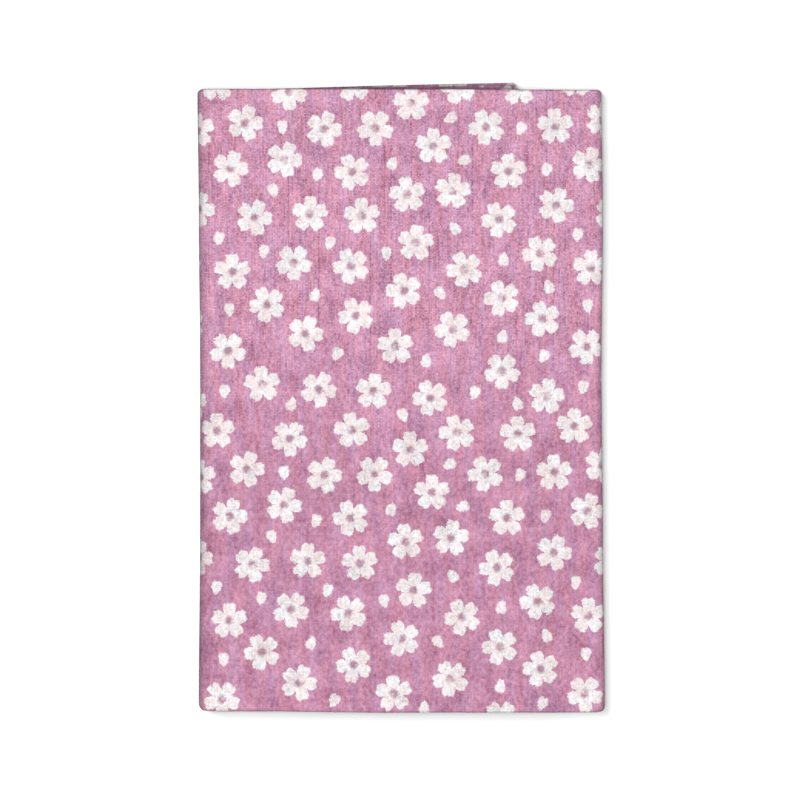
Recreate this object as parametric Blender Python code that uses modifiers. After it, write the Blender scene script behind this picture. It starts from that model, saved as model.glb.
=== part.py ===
# A cotton hand towel, folded flat.
# One length of cloth is folded in five along its length, which makes a strip of five layers.
# The strip is then folded in three: both of its side parts lie behind the front face.
# Units are metres, +Z is up. The towel lies on its back with its front face up, its top edge
# towards +Y, and the origin at the middle of the underside.

import math

import bmesh
import bpy

FACE_HEIGHT = 0.1815  # front face, from its top fold to its bottom fold
FACE_WIDTH = 0.1180  # front face, from its left fold to its right fold
CLOTH_THICKNESS = 0.00035
LAYER_PITCH = 0.00055  # from one layer of the strip to the next
STRIP_GAP = 0.00035  # clear space between two parts of the strip that lie on each other
BACK_FLAP_WIDTH = 0.0925  # outermost part behind, from the left fold to its free edge
TUCKED_EDGE_GAP = 0.0015  # from the turn's middle to the free edge that it wraps
SINK_START = 0.0012  # past the back flap's free edge, where the rest starts to sink
SINK_LENGTH = 0.0170  # distance over which it sinks on to the surface below

# The five runs of cloth in the strip, in order from one cut end to the other. The level counts
# the layers from the front of the strip (0) to its back (4). The gaps tell how far each run
# stops short of the strip's top and bottom edges. The first run starts at the top, and the
# folds between the runs are at the bottom, top, bottom and top.
RUNS = (
    # name, level, top gap, bottom gap
    ("tucked end", 1, 0.0040, 0.0016),
    ("inner run", 2, 0.0000, 0.0016),
    ("face", 0, 0.0000, 0.0000),
    ("back run", 4, 0.0006, 0.0000),
    ("back end", 3, 0.0006, 0.0046),
)

# Where each layer has points between its folds, as shares of half the face's height, and where
# the parts above the back flap have them, as shares of that flap's flat width. The layers
# share them, so that they stay parallel when the stack is made uneven.
ROW_SHARES = (-0.86, -0.57, -0.27, 0.0, 0.27, 0.57, 0.86)
COLUMN_SHARES = (0.22, 0.48, 0.74)
SINK_SHARES = (0.0, 0.18, 0.4, 0.6, 0.82, 1.0)
LEFT_TURN_STEPS = 8
RIGHT_TURN_STEPS = 7

# How far each part of the strip is shifted towards the top edge.
SHIFTS = (
    # part, at its start, at its middle, at its end
    ("back flap", 0.0022, 0.0011, -0.0003),
    ("left turn", -0.0003, -0.0001, 0.0000),
    ("face", 0.0000, 0.0000, 0.0000),
    ("right turn", 0.0000, 0.0001, 0.0001),
    ("tucked part", 0.0001, 0.0000, -0.0002),
)

# How far the outline strays from a rectangle.
SIDE_STRAYS = (
    # share of half the height, left side, right side, both towards +X
    (-1.0, -0.0001, 0.0006),
    (-0.4, 0.0003, 0.0000),
    (0.1, 0.0003, -0.0004),
    (0.6, -0.0001, 0.0000),
    (1.0, -0.0005, -0.0004),
)
END_STRAYS = (
    # share of half the width, bottom end, top end, both towards +Y
    (-1.0, -0.0001, 0.0000),
    (0.0, -0.0006, -0.0001),
    (1.0, -0.0007, -0.0002),
)
CORNERS = (
    # side, end, width of the rounding, how far its tip is drawn in
    (-1, 1, 0.0022, 0.0007),
    (-1, -1, 0.0020, 0.0011),
    (1, 1, 0.0022, 0.0006),
    (1, -1, 0.0030, 0.0003),
)
PRESSED_SHARE = 0.05  # part of the height that is lost across the middle
PRESSED_REACH = 0.0330

CLOTH_COLOUR = (0.60, 0.25, 0.42, 1.0)
CLOTH_ROUGHNESS = 0.92

STRIP_THICKNESS = (len(RUNS) - 1) * LAYER_PITCH + CLOTH_THICKNESS
STRIP_PITCH = STRIP_THICKNESS + STRIP_GAP
FLAP_X = BACK_FLAP_WIDTH - FACE_WIDTH / 2
SINK_X = FLAP_X + SINK_START
LOWEST_Z = CLOTH_THICKNESS / 2  # middle of the layer that lies on the surface below


def smooth_step(share):
    share = min(max(share, 0.0), 1.0)
    return share * share * (3.0 - 2.0 * share)


def eased(table, share, column):
    # The value of a column at this share, eased from row to row.
    for low, high in zip(table, table[1:]):
        if share <= high[0]:
            break
    part = smooth_step((share - low[0]) / (high[0] - low[0]))
    return low[column] + (high[column] - low[column]) * part


def level_offset(level):
    # How far a layer lies from the middle of the strip, towards the strip's front.
    return ((len(RUNS) - 1) / 2 - level) * LAYER_PITCH


def fold_points(end, gap, offset, next_offset):
    # A half turn from one level to another at the strip's top (end 1) or bottom (end -1).
    radius = abs(next_offset - offset) / 2
    centre_y = end * (FACE_HEIGHT / 2 - gap - CLOTH_THICKNESS / 2 - radius)
    centre_offset = (offset + next_offset) / 2
    steps = 4 + round(radius / LAYER_PITCH)
    points = []
    for step in range(steps + 1):
        angle = math.pi * step / steps
        y = centre_y + end * radius * math.sin(angle)
        points.append((y, centre_offset + (offset - centre_offset) * math.cos(angle)))
    return points


def strip_section():
    # Points (y, offset) along the middle of the cloth, in a section from top to bottom.
    half = FACE_HEIGHT / 2
    points = [(half - RUNS[0][2], level_offset(RUNS[0][1]))]
    for index, (_, level, top_gap, bottom_gap) in enumerate(RUNS):
        end = 1 if index % 2 else -1
        offset = level_offset(level)
        points += [(-end * share * half, offset) for share in reversed(ROW_SHARES)]
        if index + 1 < len(RUNS):
            gap = top_gap if end == 1 else bottom_gap
            points += fold_points(end, gap, offset, level_offset(RUNS[index + 1][1]))
    points.append((RUNS[-1][3] - half, level_offset(RUNS[-1][1])))
    return points


def run_stations(places, level, front):
    return [(x, level, 0.0, float(front)) for x in places]


def turn_stations(centre_x, centre_z, radius, first, last, steps):
    stations = []
    for step in range(steps + 1):
        angle = math.radians(first + (last - first) * step / steps)
        across, up = math.cos(angle), math.sin(angle)
        stations.append((centre_x + radius * across, centre_z + radius * up, across, up))
    return stations


def strip_course():
    # Stations along the strip's width, from the back flap's free edge to the tucked one:
    # (x, z) of the strip's middle, the (x, z) direction of its front, and its shift in y.
    flap_level = LOWEST_Z + level_offset(0)
    tucked_level = flap_level + STRIP_PITCH
    face_level = tucked_level + STRIP_PITCH
    left_x = STRIP_PITCH + STRIP_THICKNESS / 2 - FACE_WIDTH / 2
    right_x = FACE_WIDTH / 2 - STRIP_PITCH / 2 - STRIP_THICKNESS / 2
    shared = [left_x + (FLAP_X - left_x) * share for share in COLUMN_SHARES]
    sink = [SINK_X + SINK_LENGTH * share for share in SINK_SHARES]
    above = shared + [FLAP_X] + sink + [right_x]
    parts = (
        run_stations([FLAP_X] + shared[::-1] + [left_x], flap_level, -1),
        turn_stations(left_x, tucked_level, STRIP_PITCH, -90, -270, LEFT_TURN_STEPS),
        run_stations([left_x] + above, face_level, 1),
        turn_stations(right_x, face_level - STRIP_PITCH / 2, STRIP_PITCH / 2, 90, -90, RIGHT_TURN_STEPS),
        run_stations(above[::-1] + [left_x + TUCKED_EDGE_GAP], tucked_level, -1),
    )
    course = []
    for part, (_, start, middle, end) in zip(parts, SHIFTS):
        bulge = 4 * (middle - (start + end) / 2)
        for index, station in enumerate(part):
            share = index / (len(part) - 1)
            shift = start + (end - start) * share + bulge * share * (1 - share)
            if index or not course:
                course.append((*station, shift))
    return course


def made_uneven(x, y, z):
    # The whole stack is moved together here, so the layers never meet.
    across = x / (FACE_WIDTH / 2)
    along = y / (FACE_HEIGHT / 2)
    z -= STRIP_PITCH * smooth_step((x - SINK_X) / SINK_LENGTH)
    z -= (z - LOWEST_Z) * PRESSED_SHARE * math.exp(-((y / PRESSED_REACH) ** 2))
    left = eased(SIDE_STRAYS, along, 1)
    right = eased(SIDE_STRAYS, along, 2)
    bottom = eased(END_STRAYS, across, 1)
    top = eased(END_STRAYS, across, 2)
    for side, end, width, depth in CORNERS:
        nearness = max(1.0 - (1.0 - side * across) * FACE_WIDTH / 2 / width, 0.0)
        y -= end * depth * nearness**2 * max(end * along, 0.0) ** 4
    x += (left + right) / 2 + (right - left) / 2 * across
    y += (top + bottom) / 2 + (top - bottom) / 2 * along
    return x, y, z


def make_towel():
    section = strip_section()
    course = strip_course()
    sheet = bmesh.new()
    across, along = len(course) - 1, len(section) - 1
    bmesh.ops.create_grid(sheet, x_segments=across, y_segments=along, size=0.5)
    for vertex in sheet.verts:
        x, z, front_x, front_z, shift = course[round((vertex.co.x + 0.5) * across)]
        y, offset = section[round((vertex.co.y + 0.5) * along)]
        vertex.co = made_uneven(x + offset * front_x, y + shift, z + offset * front_z)
    middle = []
    for axis in (0, 1):
        places = [vertex.co[axis] for vertex in sheet.verts]
        middle.append((min(places) + max(places)) / 2)
    bmesh.ops.translate(sheet, verts=sheet.verts, vec=(-middle[0], -middle[1], 0.0))
    mesh = bpy.data.meshes.new("towel")
    sheet.to_mesh(mesh)
    sheet.free()
    mesh.shade_smooth()
    towel = bpy.data.objects.new("towel", mesh)
    cloth = towel.modifiers.new("cloth thickness", "SOLIDIFY")
    cloth.thickness = CLOTH_THICKNESS
    cloth.offset = 0.0
    cloth.use_even_offset = True
    return towel


def cloth_material():
    material = bpy.data.materials.new("dyed cotton")
    material.use_nodes = True
    shader = material.node_tree.nodes["Principled BSDF"]
    shader.inputs["Base Color"].default_value = CLOTH_COLOUR
    shader.inputs["Roughness"].default_value = CLOTH_ROUGHNESS
    shader.inputs["Metallic"].default_value = 0.0
    material.diffuse_color = CLOTH_COLOUR
    return material


def main():
    for old in list(bpy.data.objects):
        bpy.data.objects.remove(old, do_unlink=True)
    collection = bpy.data.collections.new("folded towel")
    bpy.context.scene.collection.children.link(collection)
    towel = make_towel()
    towel.data.materials.append(cloth_material())
    collection.objects.link(towel)


main()
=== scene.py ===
import math

import bpy
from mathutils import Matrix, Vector, noise
from mathutils.kdtree import KDTree


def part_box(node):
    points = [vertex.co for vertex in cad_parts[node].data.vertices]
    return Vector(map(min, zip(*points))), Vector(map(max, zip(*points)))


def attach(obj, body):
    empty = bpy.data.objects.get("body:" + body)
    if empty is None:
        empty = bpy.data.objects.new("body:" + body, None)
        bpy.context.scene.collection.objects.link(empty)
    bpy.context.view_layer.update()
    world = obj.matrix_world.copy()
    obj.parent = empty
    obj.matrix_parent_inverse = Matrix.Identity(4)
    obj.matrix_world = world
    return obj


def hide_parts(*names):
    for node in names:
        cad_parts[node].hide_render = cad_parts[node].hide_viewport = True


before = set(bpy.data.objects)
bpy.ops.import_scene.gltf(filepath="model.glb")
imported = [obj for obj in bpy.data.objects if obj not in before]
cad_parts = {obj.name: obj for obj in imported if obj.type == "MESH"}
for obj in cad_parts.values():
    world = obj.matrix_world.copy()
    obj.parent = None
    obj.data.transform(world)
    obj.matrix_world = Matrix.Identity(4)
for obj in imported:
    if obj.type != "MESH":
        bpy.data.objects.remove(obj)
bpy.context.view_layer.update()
print("frame loaded")

millimetres = 1000.0  # in a metre; the printed pattern and the cloth's look are in millimetres

# The towel is one length of cotton, folded in five along its length and then in three across.
# All sizes are in metres, and +Y is towards the top edge of the front face.
towelFold = {
    "faceHeight": 0.1815,
    "faceWidth": 0.1180,
    "clothThickness": 0.00035,
    "layerPitch": 0.00055,  # from one layer to the next
    "stripGap": 0.00035,  # between two parts of the five-layer strip
    "backFlapWidth": 0.0925,
    "tuckedEdgeGap": 0.0015,
    "sinkStart": 0.0012,  # past the back flap's edge, where the rest starts to sink
    "sinkLength": 0.0170,
    "pressedShare": 0.05,  # part of the height lost across the middle
    "pressedReach": 0.0330,
    "faceRow": 0.0024,  # spacing of the points down the front
    "hiddenRow": 0.0072,  # and down the layers behind it
    "column": 0.0024,
    "leftTurnSteps": 18,
    "rightTurnSteps": 13,
    "foldSteps": 7,
    "smoothAngle": 50.0,  # degrees
    "waveHeight": 0.030,  # share of the height by which the layers swell and sag
    "waveLength": 0.027,
    # run of cloth, level from the front, gap at the top, gap at the bottom
    "runs": (
        ("tucked end", 1, 0.0040, 0.0016),
        ("inner run", 2, 0.0000, 0.0016),
        ("face", 0, 0.0000, 0.0000),
        ("back run", 4, 0.0006, 0.0000),
        ("back end", 3, 0.0006, 0.0046),
    ),
    # how far each cut end or fold wanders, in the order of the runs, and over what length
    "edgeWander": (0.0010, 0.0006, 0.00012, 0.00012, 0.00044, 0.0012),
    "wanderLength": 0.016,
    "wanderApart": 4.7,  # step in the noise from one end or fold to the next
    "wanderFade": 8,  # power by which it fades towards the middle of the face
    # part of the strip, its shift towards the top edge at its start, middle and end
    "shifts": (
        ("back flap", 0.0022, 0.0011, -0.0003),
        ("left turn", -0.0003, -0.0001, 0.0000),
        ("face", 0.0000, 0.0000, 0.0000),
        ("right turn", 0.0000, 0.0001, 0.0001),
        ("tucked part", 0.0001, 0.0000, -0.0002),
    ),
    # share of half the height, left side's and right side's stray towards +X
    "sideStrays": (
        (-1.0, -0.0001, 0.0006),
        (-0.4, 0.0003, 0.0000),
        (0.1, 0.0003, -0.0004),
        (0.6, -0.0001, 0.0000),
        (1.0, -0.0005, -0.0004),
    ),
    # share of half the width, bottom end's and top end's stray towards +Y
    "endStrays": (
        (-1.0, -0.0001, 0.0000),
        (0.0, -0.0006, -0.0001),
        (1.0, -0.0007, -0.0002),
    ),
    # side, end, width of the rounding, how far its tip is drawn in
    "corners": (
        (-1, 1, 0.0022, 0.0007),
        (-1, -1, 0.0020, 0.0011),
        (1, 1, 0.0022, 0.0006),
        (1, -1, 0.0030, 0.0003),
    ),
}
towelFold["stripThickness"] = (
    (len(towelFold["runs"]) - 1) * towelFold["layerPitch"] + towelFold["clothThickness"]
)
towelFold["stripPitch"] = towelFold["stripThickness"] + towelFold["stripGap"]
towelFold["flapX"] = towelFold["backFlapWidth"] - towelFold["faceWidth"] / 2
towelFold["lowestZ"] = towelFold["clothThickness"] / 2


def smoothStep(share):
    share = min(max(share, 0.0), 1.0)
    return share * share * (3.0 - 2.0 * share)


def easedValue(rows, share, column):
    for low, high in zip(rows, rows[1:]):
        if share <= high[0]:
            break
    part = smoothStep((share - low[0]) / (high[0] - low[0]))
    return low[column] + (high[column] - low[column]) * part


def evenSteps(start, end, spacing):
    count = max(round(abs(end - start) / spacing), 1)
    return [start + (end - start) * step / count for step in range(count + 1)]


def levelOffset(level):
    return ((len(towelFold["runs"]) - 1) / 2 - level) * towelFold["layerPitch"]


def foldPoints(end, gap, offset, nextOffset, edge):
    # A half turn from one level to another at the strip's top (end 1) or bottom (end -1).
    radius = abs(nextOffset - offset) / 2
    middle = (offset + nextOffset) / 2
    centreY = end * (towelFold["faceHeight"] / 2 - gap - towelFold["clothThickness"] / 2 - radius)
    steps = towelFold["foldSteps"] + 2 * round(radius / towelFold["layerPitch"])
    points = []
    for step in range(steps + 1):
        angle = math.pi * step / steps
        turned = math.cos(angle)
        y = centreY + end * radius * math.sin(angle)
        points.append((y, middle + (offset - middle) * turned, -end * turned, edge))
    return points


def stripSection():
    # Points along the strip's length: (y, offset from the strip's middle, way, edge).
    # The way is 1 where the cloth runs down and -1 where it runs up; the edge counts the
    # cut ends and folds, so that each can wander on its own.
    runs = towelFold["runs"]
    half = towelFold["faceHeight"] / 2
    offsets = [levelOffset(level) for _, level, _, _ in runs]
    edges = [[(half - runs[0][2], offsets[0], 1.0, 0)]]
    for index, (_, _, topGap, bottomGap) in enumerate(runs[:-1]):
        end, gap = (1, topGap) if index % 2 else (-1, bottomGap)
        edges.append(foldPoints(end, gap, offsets[index], offsets[index + 1], index + 1))
    edges.append([(runs[-1][3] - half, offsets[-1], 1.0, len(runs))])
    points = list(edges[0])
    for index, (name, _, _, _) in enumerate(runs):
        way = -1.0 if index % 2 else 1.0
        spacing = towelFold["faceRow"] if name == "face" else towelFold["hiddenRow"]
        for y in evenSteps(edges[index][-1][0], edges[index + 1][0][0], spacing)[1:-1]:
            points.append((y, offsets[index], way, index if y * way > 0 else index + 1))
        points += edges[index + 1]
    return points


def turnStations(centreX, centreZ, radius, first, last, steps):
    stations = []
    for step in range(steps + 1):
        angle = math.radians(first + (last - first) * step / steps)
        across, up = math.cos(angle), math.sin(angle)
        stations.append((centreX + radius * across, centreZ + radius * up, across, up))
    return stations


def stripCourse():
    # Stations across the strip's width: (x, z, the front's x and z direction, shift in y), and
    # the number of the first station on the front face.
    pitch, thickness = towelFold["stripPitch"], towelFold["stripThickness"]
    flapLevel = towelFold["lowestZ"] + levelOffset(0)
    tuckedLevel, faceLevel = flapLevel + pitch, flapLevel + 2 * pitch
    leftX = pitch + thickness / 2 - towelFold["faceWidth"] / 2
    rightX = towelFold["faceWidth"] / 2 - pitch / 2 - thickness / 2
    under = evenSteps(leftX, towelFold["flapX"], towelFold["column"])
    beyond = evenSteps(towelFold["flapX"], rightX, towelFold["column"])[1:]
    tuckedPlaces = (under[1:] + beyond)[::-1] + [leftX + towelFold["tuckedEdgeGap"]]
    leftTurn = turnStations(leftX, tuckedLevel, pitch, -90, -270, towelFold["leftTurnSteps"])
    rightTurn = turnStations(
        rightX, faceLevel - pitch / 2, pitch / 2, 90, -90, towelFold["rightTurnSteps"]
    )
    parts = (
        [(x, flapLevel, 0.0, -1.0) for x in under[::-1]],
        leftTurn,
        [(x, faceLevel, 0.0, 1.0) for x in under + beyond],
        rightTurn,
        [(x, tuckedLevel, 0.0, -1.0) for x in tuckedPlaces],
    )
    course = []
    for part, (name, start, middle, end) in zip(parts, towelFold["shifts"]):
        if name == "face":
            firstOnFace = len(course) - 1
        bulge = 4 * (middle - (start + end) / 2)
        for index, station in enumerate(part):
            share = index / (len(part) - 1)
            shift = start + (end - start) * share + bulge * share * (1 - share)
            if index or not course:
                course.append((*station, shift))
    return course, firstOnFace


def runningLengths(points):
    lengths = [0.0]
    for here, there in zip(points, points[1:]):
        lengths.append(lengths[-1] + math.dist(here, there))
    return lengths


def madeUneven(x, y, z):
    # The whole stack moves together, so its layers never meet. Also gives the stray in x and y.
    across = x / (towelFold["faceWidth"] / 2)
    along = y / (towelFold["faceHeight"] / 2)
    sunk = (x - towelFold["flapX"] - towelFold["sinkStart"]) / towelFold["sinkLength"]
    z -= towelFold["stripPitch"] * smoothStep(sunk)
    pressed = towelFold["pressedShare"] * math.exp(-((y / towelFold["pressedReach"]) ** 2))
    place = Vector((x, y, 0.0)) / towelFold["waveLength"]
    swell = towelFold["waveHeight"] * noise.noise(place)
    z += (z - towelFold["lowestZ"]) * (swell - pressed)
    for side, end, width, depth in towelFold["corners"]:
        nearness = max(1.0 - (1.0 - side * across) * towelFold["faceWidth"] / 2 / width, 0.0)
        y -= end * depth * nearness**2 * max(end * along, 0.0) ** 4
    left, right = (easedValue(towelFold["sideStrays"], along, column) for column in (1, 2))
    bottom, top = (easedValue(towelFold["endStrays"], across, column) for column in (1, 2))
    strayX = (left + right) / 2 + (right - left) / 2 * across
    strayY = (top + bottom) / 2 + (top - bottom) / 2 * along
    return x + strayX, y + strayY, z, strayX, strayY


def foldedSheet():
    section = stripSection()
    course, firstOnFace = stripCourse()
    # flat places run on round the folds, and match x and y on the front face
    front = levelOffset(0)
    outer = [(x + front * frontX, z + front * frontZ) for x, z, frontX, frontZ, _ in course]
    flatX = runningLengths(outer)
    startX = course[firstOnFace][0] - flatX[firstOnFace]
    flatY = runningLengths([point[:2] for point in section])
    topRow = [point[1] for point in section].index(front)
    startY = section[topRow][0] + flatY[topRow]

    across, along = len(course) - 1, len(section) - 1
    bpy.ops.object.select_all(action="DESELECT")
    bpy.ops.mesh.primitive_grid_add(x_subdivisions=across, y_subdivisions=along, size=1.0)
    sheet = bpy.context.object
    sheet.name = sheet.data.name = "foldedTowel"
    flatPlaces = []
    for vertex in sheet.data.vertices:
        column = round((vertex.co.x + 0.5) * across)
        row = round((vertex.co.y + 0.5) * along)
        x, z, frontX, frontZ, shift = course[column]
        y, offset, way, edge = section[row]
        wanderX = flatX[column] / towelFold["wanderLength"]
        place = Vector((wanderX, edge * towelFold["wanderApart"], 0.5))
        nearEnd = (abs(y) / (towelFold["faceHeight"] / 2)) ** towelFold["wanderFade"]
        wander = towelFold["edgeWander"][edge] * noise.noise(place) * nearEnd
        x, y, z, strayX, strayY = madeUneven(
            x + offset * frontX, y + shift + wander, z + offset * frontZ
        )
        vertex.co = (x, y, z)
        flatPlaces.append(
            (flatX[column] + startX + frontZ * strayX, startY - flatY[row] + way * strayY)
        )
    low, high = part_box("towel")
    for axis in (0, 1):
        places = [vertex.co[axis] for vertex in sheet.data.vertices]
        step = (low[axis] + high[axis]) / 2 - (min(places) + max(places)) / 2
        for vertex in sheet.data.vertices:
            vertex.co[axis] += step
    flat = sheet.data.uv_layers[0]
    flat.name = "flat"
    for loop in sheet.data.loops:
        flat.data[loop.index].uv = flatPlaces[loop.vertex_index]
    cloth = sheet.modifiers.new("cloth thickness", "SOLIDIFY")
    cloth.thickness = towelFold["clothThickness"]
    cloth.offset = 0.0
    cloth.use_even_offset = True
    bpy.ops.object.modifier_apply(modifier=cloth.name)
    bpy.ops.object.shade_smooth_by_angle(angle=math.radians(towelFold["smoothAngle"]))
    return sheet


# The printed pattern, charted on the front face in millimetres from its middle. Each blossom
# has its place and the turn of one petal in degrees; each loose petal has the direction of its
# broad end.
blossomPrint = {
    "repeatAcross": (104.7, 1.2),
    "repeatUp": (0.4, 101.2),
    "blossoms": (
        (-53.7, 92.4, 18), (-32.7, 89.6, -15), (-14.0, 92.2, 27), (3.0, 86.5, 18), (16.7, 91.5, 36),
        (34.4, 91.2, 20), (-45.5, 80.7, 0), (-34.0, 70.1, -3), (-22.5, 78.9, -2), (-7.5, 79.3, -17),
        (-49.8, 67.4, 0), (-14.3, 66.4, 38), (9.4, 74.0, 18), (24.9, 79.5, 43), (45.0, 79.9, 21),
        (31.3, 66.6, 19), (1.8, 59.8, 25), (15.1, 60.9, 10), (45.2, 56.8, -3), (28.6, 52.5, 41),
        (-42.8, 53.1, -3), (-26.6, 54.2, 16), (-11.4, 53.6, 22), (4.3, 45.8, 12), (-49.2, 37.3, 18),
        (-31.3, 40.0, -15), (-14.6, 39.0, 42), (18.5, 38.0, 42), (40.5, 42.7, 42), (-39.1, 27.8, 43),
        (0.8, 31.8, 35), (29.4, 29.6, 38), (-13.1, 24.5, 42), (-27.9, 19.3, -4), (15.0, 20.6, 45),
        (41.3, 23.5, 33), (-1.6, 15.6, 22), (54.2, 15.5, -17), (29.5, 8.3, -18), (-40.5, 4.5, 24),
        (-24.0, 3.0, -9), (-8.0, 2.5, 12), (8.5, 0.5, 40), (42.5, 1.0, 8),
    ),
    "loosePetals": (
        (-34.6, 79.6, 95), (-24.4, 65.6, 75), (-37.3, 61.1, 112), (-2.5, 69.0, 252), (-53.1, 47.0, 80),
        (-40.0, 43.3, 75), (-20.7, 45.7, 72), (-4.3, 42.7, 90), (14.5, 82.2, 30), (35.0, 79.1, 65),
        (18.4, 69.9, 20), (42.5, 67.2, 75), (15.7, 50.0, 300), (30.0, 40.9, 262), (43.1, 32.9, 290),
        (-25.0, 30.5, 250), (11.4, 31.0, 125), (54.6, 27.5, 95), (29.6, 18.4, 260), (-18.6, 13.4, 60),
        (7.3, 11.4, 265), (41.7, 12.7, 65), (-51.5, 2.5, 80), (-32.0, -1.5, 250), (0.5, -4.5, 110),
        (21.5, 2.0, 70), (34.0, -1.0, 285),
    ),
    # height on the face, pull towards +X at the left side and elsewhere, pull towards +Y
    "pulls": (
        (-100.0, 0.0, 0.0, 0.0),
        (-86.0, -1.4, -0.1, 0.0),
        (-82.0, -1.6, -0.2, -0.8),
        (-78.0, -1.5, -0.2, -0.75),
        (-73.0, -1.1, -0.2, -0.4),
        (-62.0, -0.4, -0.3, -0.2),
        (-50.0, -0.3, -0.2, -0.2),
        (-33.0, 0.2, 0.0, 0.2),
        (-20.0, 0.9, 0.1, 0.2),
        (0.0, 0.0, 0.0, 0.0),
    ),
    "leftSide": -22.0,
    "sideWidth": 22.0,
    "tiltBelow": -0.004,  # the lower half is pulled down a little towards the right
    "edgeStart": -43.0,  # and it drops again left of here, over a width, by a depth
    "edgeSpread": 8.0,
    "edgeDrop": 0.6,
    "blossomRadius": 5.3,
    "petalRadius": 2.2,
    "motifsKept": 3,  # how many motifs a face of the mesh can show
    "motifsSought": 6,  # and out of how many with the nearest middles they are picked
    "blossomGap": 2.6,  # outline between two petals
    "blossomTip": 5.5,  # outline at a petal's round end
    "petalFullness": 2.7,  # power that makes the end round and full
    "notchDepth": 0.55,
    "notchWidth": 0.15,  # radians
    "dotRadius": 1.24,
    "dotSoftness": 0.9,
    "looseLength": 2.05,  # a loose petal, from its middle to either end
    "looseWidth": 1.78,
    "looseTaper": (0.80, 0.26),  # share of the width at its middle, and what the broad end adds
    "looseTip": 0.2,  # least share of the width
    "looseNotch": (0.5, 0.16),  # the notch's width, and its depth as a share
    "looseDepth": 1.8,  # from its edge to its middle
    "edgeWidth": 0.42,  # the print's soft edge
    "wobbleScale": 1.3,
    "wobbleDetail": 2.0,
    "edgeWobble": 0.6,
    "edgeSteps": 0.30,  # how far the edge strays at each crossing of threads
}


def pulledPlace(x, y):
    # The lower half of the front face lies a little askew.
    pulls = blossomPrint["pulls"]
    if not pulls[0][0] < y < pulls[-1][0]:
        return x, y
    side = smoothStep((x - blossomPrint["leftSide"]) / blossomPrint["sideWidth"] + 0.5)
    left, rest, lift = (easedValue(pulls, y, column) for column in (1, 2, 3))
    nearEdge = (blossomPrint["edgeStart"] - x) / blossomPrint["edgeSpread"]
    lift += blossomPrint["tiltBelow"] * x - blossomPrint["edgeDrop"] * smoothStep(nearEdge)
    return x + left + (rest - left) * side, y + lift


def printedPlaces(low, high):
    # Every motif on the cloth: (x, y, turn in radians, radius, 0 for a blossom or 1 for a petal).
    places = []
    acrossX, acrossY = blossomPrint["repeatAcross"]
    upX, upY = blossomPrint["repeatUp"]
    margin = blossomPrint["blossomRadius"]
    charts = (
        (blossomPrint["blossoms"], blossomPrint["blossomRadius"], 0.0),
        (blossomPrint["loosePetals"], blossomPrint["petalRadius"], 1.0),
    )
    columns = range(math.floor(low[0] / acrossX) - 1, math.ceil(high[0] / acrossX) + 2)
    rows = range(math.floor(low[1] / upY) - 1, math.ceil(high[1] / upY) + 2)
    for column in columns:
        for row in rows:
            for chart, radius, kind in charts:
                for x, y, turn in chart:
                    x += column * acrossX + row * upX
                    y += column * acrossY + row * upY
                    if not (low[0] - margin < x < high[0] + margin):
                        continue
                    if not (low[1] - margin < y < high[1] + margin):
                        continue
                    places.append((*pulledPlace(x, y), math.radians(turn), radius, kind))
    return places


def printPattern(sheet):
    # Gives each corner of the mesh its place within the motifs nearest to its face.
    mesh = sheet.data
    flat = [0.0] * (2 * len(mesh.loops))
    mesh.uv_layers["flat"].data.foreach_get("uv", flat)
    flat = [millimetres * value for value in flat]
    low = (min(flat[0::2]), min(flat[1::2]))
    high = (max(flat[0::2]), max(flat[1::2]))
    places = printedPlaces(low, high)
    tree = KDTree(len(places))
    for index, place in enumerate(places):
        tree.insert((place[0], place[1], 0.0), index)
    tree.balance()
    kept = blossomPrint["motifsKept"]
    local = [[0.0] * (3 * len(mesh.loops)) for _ in range(kept)]
    turns = [(math.cos(place[2]), math.sin(place[2])) for place in places]
    for polygon in mesh.polygons:
        loops = polygon.loop_indices
        middleX = sum(flat[2 * loop] for loop in loops) / len(loops)
        middleY = sum(flat[2 * loop + 1] for loop in loops) / len(loops)
        found = tree.find_n((middleX, middleY, 0.0), blossomPrint["motifsSought"])
        nearest = sorted((distance - places[index][3], index) for _, index, distance in found)
        for motif in range(kept):
            index = nearest[motif][1]
            x, y, turn, radius, kind = places[index]
            cosine, sine = turns[index]
            values = local[motif]
            for loop in loops:
                dx, dy = flat[2 * loop] - x, flat[2 * loop + 1] - y
                values[3 * loop] = dx * cosine + dy * sine
                values[3 * loop + 1] = dy * cosine - dx * sine
                values[3 * loop + 2] = kind
    for motif in range(kept):
        attribute = mesh.attributes.new(f"motif{motif + 1}", "FLOAT_VECTOR", "CORNER")
        attribute.data.foreach_set("vector", local[motif])
    print("pattern printed,", len(places), "motifs")


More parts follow.
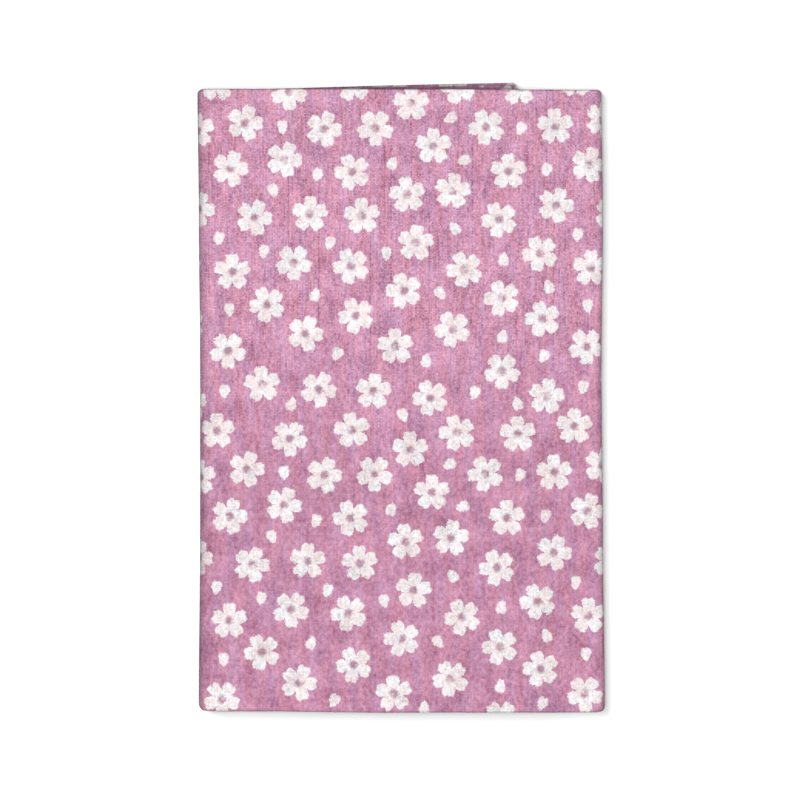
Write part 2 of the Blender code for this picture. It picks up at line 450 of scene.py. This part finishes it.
class Wire:
    # A socket in a formula: an expression on values adds its Math nodes.
    def __init__(self, tree, socket=None):
        self.tree = tree
        self.socket = socket

    def add(self, kind, settings, values, output=0):
        node = self.tree.nodes.new("ShaderNode" + kind)
        for name, setting in settings.items():
            setattr(node, name, setting)
        for name, value in values.items():
            if isinstance(value, Wire):
                self.tree.links.new(value.socket, node.inputs[name])
            else:
                node.inputs[name].default_value = value
        return Wire(self.tree, node.outputs[output])

    def maths(self, operation, *others):
        values = dict(enumerate((self, *others)))
        return self.add("Math", {"operation": operation}, values)

    def __add__(self, other):
        return self.maths("ADD", other)

    def __sub__(self, other):
        return self.maths("SUBTRACT", other)

    def __rsub__(self, other):
        return self.add("Math", {"operation": "SUBTRACT"}, {0: other, 1: self})

    def __mul__(self, other):
        return self.maths("MULTIPLY", other)

    def __truediv__(self, other):
        return self.maths("DIVIDE", other)

    def __pow__(self, other):
        return self.maths("POWER", other)

    def __abs__(self):
        return self.maths("ABSOLUTE")

    __radd__ = __add__
    __rmul__ = __mul__

    def clamped(self):
        return self.add("Clamp", {}, {"Value": self})

    def mixed(self, first, second):
        # this value mixes two colours
        values = {0: self, 6: first, 7: second}
        return self.add("Mix", {"data_type": "RGBA"}, values, 2)

    def vector(self, operation, *others):
        values = dict(enumerate((self, *others)))
        return self.add("VectorMath", {"operation": operation}, values)

    def scaled(self, factor):
        return self.add("VectorMath", {"operation": "SCALE"}, {0: self, "Scale": factor})


# The look of the cloth. Lengths are in millimetres.
clothLook = {
    "deepDye": (0.277, 0.098, 0.176, 1.0),
    "paleDye": (0.878, 0.487, 0.669, 1.0),
    "purpler": (0.955, 1.00, 1.045, 1.0),  # the dye is multiplied by a tint between these two
    "redder": (1.05, 0.97, 0.945, 1.0),
    "undyed": (0.832, 0.805, 0.828, 1.0),
    "undyedWarm": (0.828, 0.72, 0.725, 1.0),
    "dotDye": (0.435, 0.255, 0.33, 1.0),
    "roughness": 0.88,
    "specular": 0.25,
    "bumpStrength": 0.6,
    "bumpHeight": 0.00012,  # metres
    "slubBump": 0.5,
    "threadPitch": 0.45,
    "threadRise": (0.55, 0.45),  # a thread's height, and how far it dips and climbs on its way
    "threadMiddle": 0.75,  # mean height of the cloth
    "crossingContrast": 4.0,
    # how much each cause changes the shade of the dye
    # painted shade: the dye is darker in the gaps where the threads lie low
    "gapShadeShare": 0.26,
    "slubShare": 0.62,
    "speckShare": 0.28,
    "cloudShare": 0.42,
    "patchShare": 0.42,
    "blotchShare": 0.42,
    "streakShare": 0.44,
    "stripeShare": 0.22,
    # and the brightness of the undyed cloth
    # the undyed cloth takes the grain and the painted shade in the weave's gaps too
    "grainAndGapShadeOnUndyed": 0.75,
    "cloudsOnUndyed": 0.42,
    "blotchesOnUndyed": 0.38,
    # in the lower half the cloth is darker and its dye more even
    "halvesBlend": 60.0,  # height over which one half passes into the other
    "darkerBelow": 0.14,
    "calmerBelow": 0.55,
    "plainerBelow": 0.75,  # share of its upright streaks that it loses
    "cloudierBelow": 0.35,
    "dotsBelow": 0.12,
    "undyedDarkerBelow": 0.055,
    # noise: its scale across and along, its start across and along, its detail
    "noises": {
        "warp slub": (5.3, 1.3, 0.0, 0.0, 1.0),
        "weft slub": (1.3, 5.3, 0.0, 40.0, 1.0),
        "patches": (0.28, 0.12, 0.0, 0.0, 3.0),
        "blotches": (0.13, 0.13, 11.0, -35.0, 2.0),
        "clouds": (0.9, 0.7, -30.0, 0.0, 2.0),
        "streaks": (1.5, 0.16, 0.0, 70.0, 2.0),
        "stripes": (3.1, 0.09, 0.0, 25.0, 1.0),
        "breaks": (0.5, 0.9, 0.0, 0.0, 2.0),
        "tint": (0.33, 0.06, 90.0, 0.0, 2.0),
        "warmth": (0.22, 0.2, 0.0, -60.0, 2.0),
        "dot dye": (0.4, 0.4, 0.0, 15.0, 1.0),
    },
    # masks made from it: contrast and middle level
    "masks": {
        "stripes": (9.0, -1.2),
        "breaks": (4.0, 0.95),
        "tint": (3.0, 0.5),
        "warmth": (4.0, 0.5),
        "dot dye": (2.4, 0.86),
    },
    "darkWidth": 0.3,  # a dark thread, from its middle to either side
    "darkReach": 34.0,  # how far it shows up and down the face
    "darkStart": 1.3,  # and how strong it starts, of which no more than 1 is seen
    # place across the face, height at its middle, strength of a dark thread
    "darkThreads": (
        (-32.8, 68.0, 0.26),
        (-24.0, 36.0, 0.40),
        (-9.0, 36.0, 0.40),
        (-4.9, 68.0, 0.34),
        (-2.9, 60.0, 0.24),
        (3.1, 58.0, 0.28),
        (8.2, 42.0, 0.32),
        (10.1, 52.0, 0.20),
        (16.6, 70.0, 0.36),
        (20.8, 50.0, 0.30),
        (42.4, 68.0, 0.28),
        (44.6, 38.0, 0.22),
    ),
}


def blossomDepth(x, y):
    # How far inside a blossom's outline, and inside its dot's, a place is.
    radius = (x * x + y * y) ** 0.5
    halfPetal = math.pi / 5
    angle = y.maths("ARCTAN2", x).maths("PINGPONG", halfPetal)
    shape = (1 - (angle / halfPetal) ** blossomPrint["petalFullness"]).maths("MAXIMUM", 0.0)
    rise = blossomPrint["blossomTip"] - blossomPrint["blossomGap"]
    notch = ((angle / blossomPrint["notchWidth"]) ** 2 * -1.0).maths("EXPONENT")
    reach = blossomPrint["blossomGap"] + rise * shape - blossomPrint["notchDepth"] * notch
    return reach - radius, blossomPrint["dotRadius"] - radius


def loosePetalDepth(x, y):
    # A loose petal: narrow at one end, broad and notched at the other.
    along = x / blossomPrint["looseLength"]
    middle, taper = blossomPrint["looseTaper"]
    share = (middle + taper * along).maths("MAXIMUM", blossomPrint["looseTip"])
    width = share * blossomPrint["looseWidth"]
    inside = 1 - (along**2 + (y / width) ** 2) ** 0.5
    notchWidth, notchDepth = blossomPrint["looseNotch"]
    notch = ((y / notchWidth) ** 2 * -1.0).maths("EXPONENT") * along.maths("GREATER_THAN", 0.0)
    return (inside - notchDepth * notch) * blossomPrint["looseDepth"]


def centredNoise(spot, kind, values, size):
    # a random vector in the plane of the cloth, up to half this size either way
    colour = spot.add(kind, {"noise_dimensions": "2D"}, {"Vector": spot, **values}, 1)
    return colour.vector("MULTIPLY_ADD", (1.0, 1.0, 0.0), (-0.5, -0.5, 0.0)).scaled(size)


def printMask(place, cell):
    # How far the cloth is left white, and how far it carries a dot's dye. The print's edge
    # wobbles, and steps from one crossing of threads to the next.
    wobble = {"Scale": blossomPrint["wobbleScale"], "Detail": blossomPrint["wobbleDetail"]}
    stray = centredNoise(place, "TexNoise", wobble, blossomPrint["edgeWobble"])
    stray = stray.vector("ADD", centredNoise(cell, "TexWhiteNoise", {}, blossomPrint["edgeSteps"]))
    white, dots = None, None
    for motif in range(blossomPrint["motifsKept"]):
        local = place.add("Attribute", {"attribute_name": f"motif{motif + 1}"}, {}, 1)
        local = local.vector("ADD", stray)
        x, y, kind = (local.add("SeparateXYZ", {}, {0: local}, axis) for axis in range(3))
        blossom, dot = blossomDepth(x, y)
        depth = blossom * (1 - kind) + loosePetalDepth(x, y) * kind
        mask = (depth / blossomPrint["edgeWidth"] + 0.5).clamped()
        dot = (dot / blossomPrint["dotSoftness"] + 0.5).clamped() * (1 - kind)
        white = mask if white is None else white.maths("MAXIMUM", mask)
        dots = dot if dots is None else dots.maths("MAXIMUM", dot)
    return white, dots


def spotAt(x, y):
    return x.add("CombineXYZ", {}, {0: x, 1: y})


def noiseAt(spot, name):
    # noise from -0.5 to 0.5
    scaleX, scaleY, startX, startY, detail = clothLook["noises"][name]
    spot = spot.vector("MULTIPLY_ADD", (scaleX, scaleY, 0.0), (startX, startY, 0.0))
    values = {"Vector": spot, "Scale": 1.0, "Detail": detail}
    return spot.add("TexNoise", {"noise_dimensions": "2D"}, values) - 0.5


def noiseMask(spot, name, extra=0.0):
    # the same noise with more contrast, from 0 to 1
    contrast, level = clothLook["masks"][name]
    return (noiseAt(spot, name) * contrast + (level + extra)).clamped()


def wovenThreads(x, y):
    # Plain weave: each thread passes over and under the ones that cross it. Gives the height
    # of the threads, and how far an upright one is on top.
    turn = math.pi / clothLook["threadPitch"]
    warp, weft = (x * turn).maths("SINE"), (y * turn).maths("SINE")
    height, climb = clothLook["threadRise"]
    warpRise = abs(warp) * (height + climb * (warp.maths("SIGN") * weft))
    weftRise = abs(weft) * (height - climb * (weft.maths("SIGN") * warp))
    warpOver = ((warpRise - weftRise) * clothLook["crossingContrast"] + 0.5).clamped()
    return warpRise.maths("MAXIMUM", weftRise), warpOver


def darkThreadShade(place, x, y):
    # a few upright threads are darker, with breaks along them
    breaks = noiseMask(place, "breaks")
    shade = 0.0
    for spot, height, strength in clothLook["darkThreads"]:
        line = (1 - abs(x - spot) / clothLook["darkWidth"]).clamped() * strength
        fading = (clothLook["darkStart"] - abs(y - height) / clothLook["darkReach"]).clamped()
        shade = shade + line * breaks * fading
    return shade


def clothMaterial():
    look = clothLook
    material = bpy.data.materials.new("printed cotton")
    material.use_nodes = True
    tree = material.node_tree
    shader = tree.nodes["Principled BSDF"]
    place = Wire(tree).add("UVMap", {"uv_map": "flat"}, {}).scaled(millimetres)
    x, y = (place.add("SeparateXYZ", {}, {0: place}, axis) for axis in (0, 1))
    threads, warpOver = wovenThreads(x, y)
    column, row = ((value / look["threadPitch"]).maths("FLOOR") for value in (x, y))
    alongWarp, alongWeft, cell = spotAt(column, y), spotAt(x, row), spotAt(column, row)

    # every thread is thick and thin along its length, and every crossing differs a little; the gaps
    # where the threads lie low get painted shade
    warpSlub, weftSlub = noiseAt(alongWarp, "warp slub"), noiseAt(alongWeft, "weft slub")
    slub = weftSlub + (warpSlub - weftSlub) * warpOver
    speck = cell.add("TexWhiteNoise", {"noise_dimensions": "2D"}, {"Vector": cell}) - 0.5
    grainAndGapShade = slub * look["slubShare"] + speck * look["speckShare"]
    # painted shade: the cloth is darker where the threads lie low, in the gaps of the weave
    grainAndGapShade = grainAndGapShade + (threads - look["threadMiddle"]) * look["gapShadeShare"]

    # the dye took unevenly, and less so in the lower half, which is also darker
    below = (0.5 - y / look["halvesBlend"]).clamped()
    plainer = 1 - below * look["plainerBelow"]
    clouds, blotches = noiseAt(place, "clouds"), noiseAt(place, "blotches")
    streaks = noiseAt(place, "streaks") * look["streakShare"]
    stripes = noiseMask(alongWarp, "stripes") * warpOver * look["stripeShare"]
    shade = 0.5 - below * look["darkerBelow"] + grainAndGapShade * (1 - below * look["calmerBelow"])
    shade = shade + noiseAt(place, "patches") * look["patchShare"] + blotches * look["blotchShare"]
    shade = shade + clouds * look["cloudShare"] * (1 + below * look["cloudierBelow"])
    shade = shade + (streaks - stripes) * plainer - darkThreadShade(place, x, y)
    dye = shade.clamped().mixed(look["deepDye"], look["paleDye"])
    dye = dye.vector("MULTIPLY", noiseMask(place, "tint").mixed(look["purpler"], look["redder"]))

    # the undyed blossoms and petals, and the blossoms' dots
    white, dots = printMask(place, cell)
    undyed = noiseMask(place, "warmth").mixed(look["undyed"], look["undyedWarm"])
    dots = dots * noiseMask(place, "dot dye", below * look["dotsBelow"])
    undyed = dots.mixed(undyed, look["dotDye"])
    # the undyed cloth follows the same grain and painted shade in the weave's gaps
    bright = 1 + grainAndGapShade * look["grainAndGapShadeOnUndyed"] + clouds * look["cloudsOnUndyed"]
    # the undyed cloth too is darker towards the bottom
    bright = bright + blotches * look["blotchesOnUndyed"] - below * look["undyedDarkerBelow"]
    colour = white.mixed(dye, undyed.scaled(bright))
    tree.links.new(colour.socket, shader.inputs["Base Color"])
    shader.inputs["Roughness"].default_value = look["roughness"]
    shader.inputs["Specular IOR Level"].default_value = look["specular"]
    height = threads + slub * look["slubBump"]
    values = {"Height": height, "Strength": look["bumpStrength"], "Distance": look["bumpHeight"]}
    tree.links.new(place.add("Bump", {}, values).socket, shader.inputs["Normal"])
    return material


# Where the picture is taken from, and the light.
studio = {
    "viewWidth": 0.2334,  # width of the view at the front face
    "viewDistance": 2.4,
    "viewMiddle": (-0.00033, -0.00078),
    "sensorWidth": 36.0,
    "floorSize": 8.0,
    "floorColour": (0.645, 0.648, 0.645, 1.0),
    "keyPlace": (0.0, -0.24, 1.46),
    "keySize": 0.8,
    "keyPower": 24.7,
    "sidePlace": (-0.85, 0.50, 1.22),  # falls on the floor alone and gives the towel's shadow
    "sideSize": 1.0,
    "sidePower": 34.0,
    "skyStrength": 0.18,
    "backdropStrength": 0.95,  # the same sky as the camera sees it
}


def studioFloor():
    bpy.ops.object.select_all(action="DESELECT")
    bpy.ops.mesh.primitive_plane_add(size=studio["floorSize"])
    floor = bpy.context.object
    floor.name = floor.data.name = "studioFloor"
    material = bpy.data.materials.new("pale floor")
    material.use_nodes = True
    shader = material.node_tree.nodes["Principled BSDF"]
    shader.inputs["Base Color"].default_value = studio["floorColour"]
    shader.inputs["Roughness"].default_value = 1.0
    shader.inputs["Specular IOR Level"].default_value = 0.0
    floor.data.materials.append(material)
    floor.visible_diffuse = False  # so that it throws no light back on the folds
    return floor


def softLight(name, place, size, power):
    data = bpy.data.lights.new(name, "AREA")
    data.size = size
    data.energy = power
    light = bpy.data.objects.new(name, data)
    light.location = place
    light.rotation_euler = (-Vector(place)).to_track_quat("-Z", "Y").to_euler()
    bpy.context.scene.collection.objects.link(light)
    return light


def studioLight(floor):
    world = bpy.data.worlds.new("soft room")
    world.use_nodes = True
    background = world.node_tree.nodes["Background"]
    background.inputs["Color"].default_value = (1.0, 1.0, 1.0, 1.0)
    seen = Wire(world.node_tree).add("LightPath", {}, {})
    strength = studio["skyStrength"] + seen * (studio["backdropStrength"] - studio["skyStrength"])
    world.node_tree.links.new(strength.socket, background.inputs["Strength"])
    bpy.context.scene.world = world
    softLight("softKey", studio["keyPlace"], studio["keySize"], studio["keyPower"])
    side = softLight("floorLight", studio["sidePlace"], studio["sideSize"], studio["sidePower"])
    litAlone = bpy.data.collections.new("lit by the floor light")
    litAlone.objects.link(floor)
    side.light_linking.receiver_collection = litAlone


def studioCamera():
    data = bpy.data.cameras.new("overhead")
    data.sensor_width = studio["sensorWidth"]
    data.lens = studio["sensorWidth"] * studio["viewDistance"] / studio["viewWidth"]
    camera = bpy.data.objects.new("overhead", data)
    camera.location = (*studio["viewMiddle"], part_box("towel")[1][2] + studio["viewDistance"])
    bpy.context.scene.collection.objects.link(camera)
    bpy.context.scene.camera = camera
    bpy.context.scene.view_settings.view_transform = "Standard"


studioCamera()
studioLight(studioFloor())
print("studio ready")

towel = foldedSheet()
print("cloth folded,", len(towel.data.polygons), "faces")
printPattern(towel)
towel.data.materials.clear()
towel.data.materials.append(clothMaterial())
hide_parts("towel")
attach(towel, "root")
print("towel finished")
